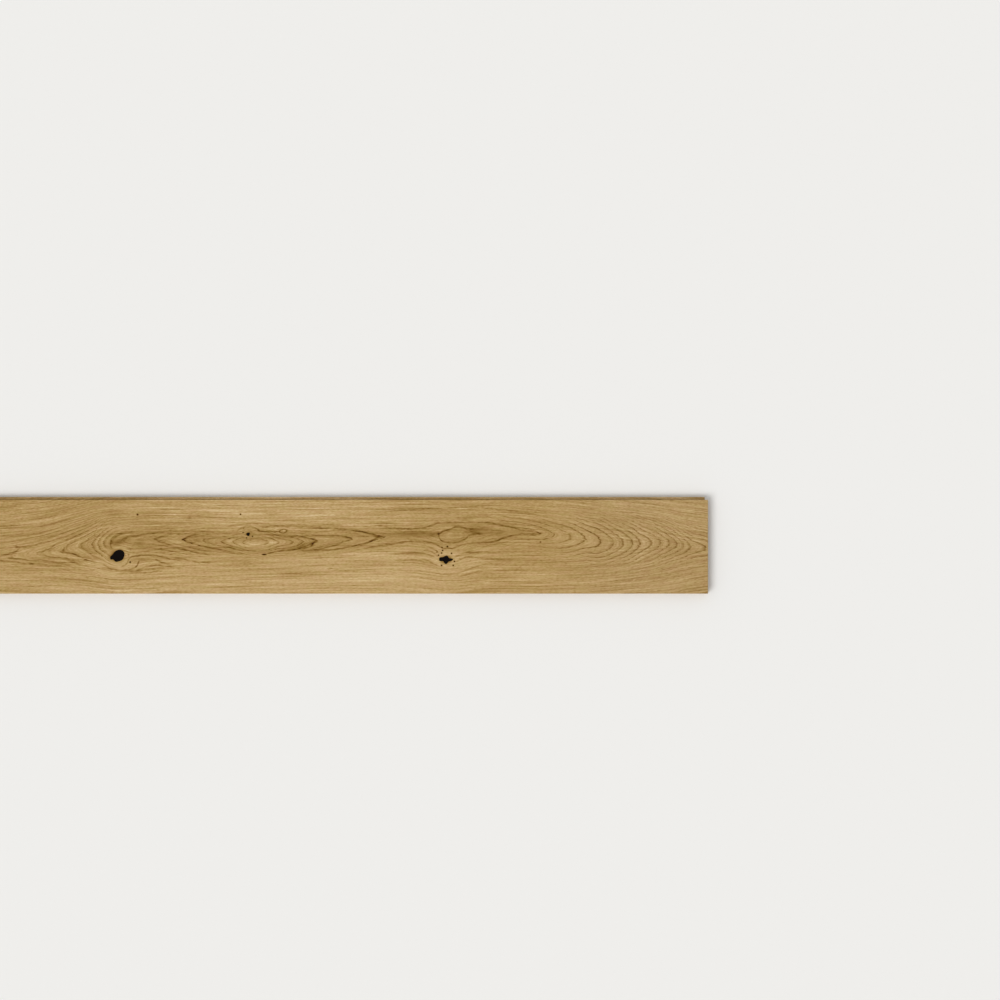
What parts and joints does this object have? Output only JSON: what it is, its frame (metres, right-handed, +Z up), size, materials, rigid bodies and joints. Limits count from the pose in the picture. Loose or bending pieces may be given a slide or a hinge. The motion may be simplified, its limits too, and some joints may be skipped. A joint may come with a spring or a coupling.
{
  "type": "wide plank floorboard",
  "caption": "Solid oak plank for flooring: tongue and groove on the long sides and ends, relief-grooved back, dark-filled knots in a wide face.",
  "frame": {"origin": "centre of the underside, below the centre of the face (shoulder to shoulder)", "axes": "+X along the board to the grooved end, +Y across it to the tongued edge, +Z up out of the face"},
  "size_m": [2.2055, 0.1855, 0.02],
  "materials": {
    "oak": "satin oiled, natural oak with a cathedral figure",
    "knot_filler": "satin, near-black two-part filler"
  },
  "bodies": {
    "root": {"plank": "oak", "knot_filler_large": "knot_filler", "knot_filler_star": "knot_filler", "knot_filler_small": "knot_filler"}
  },
  "joints": []
}
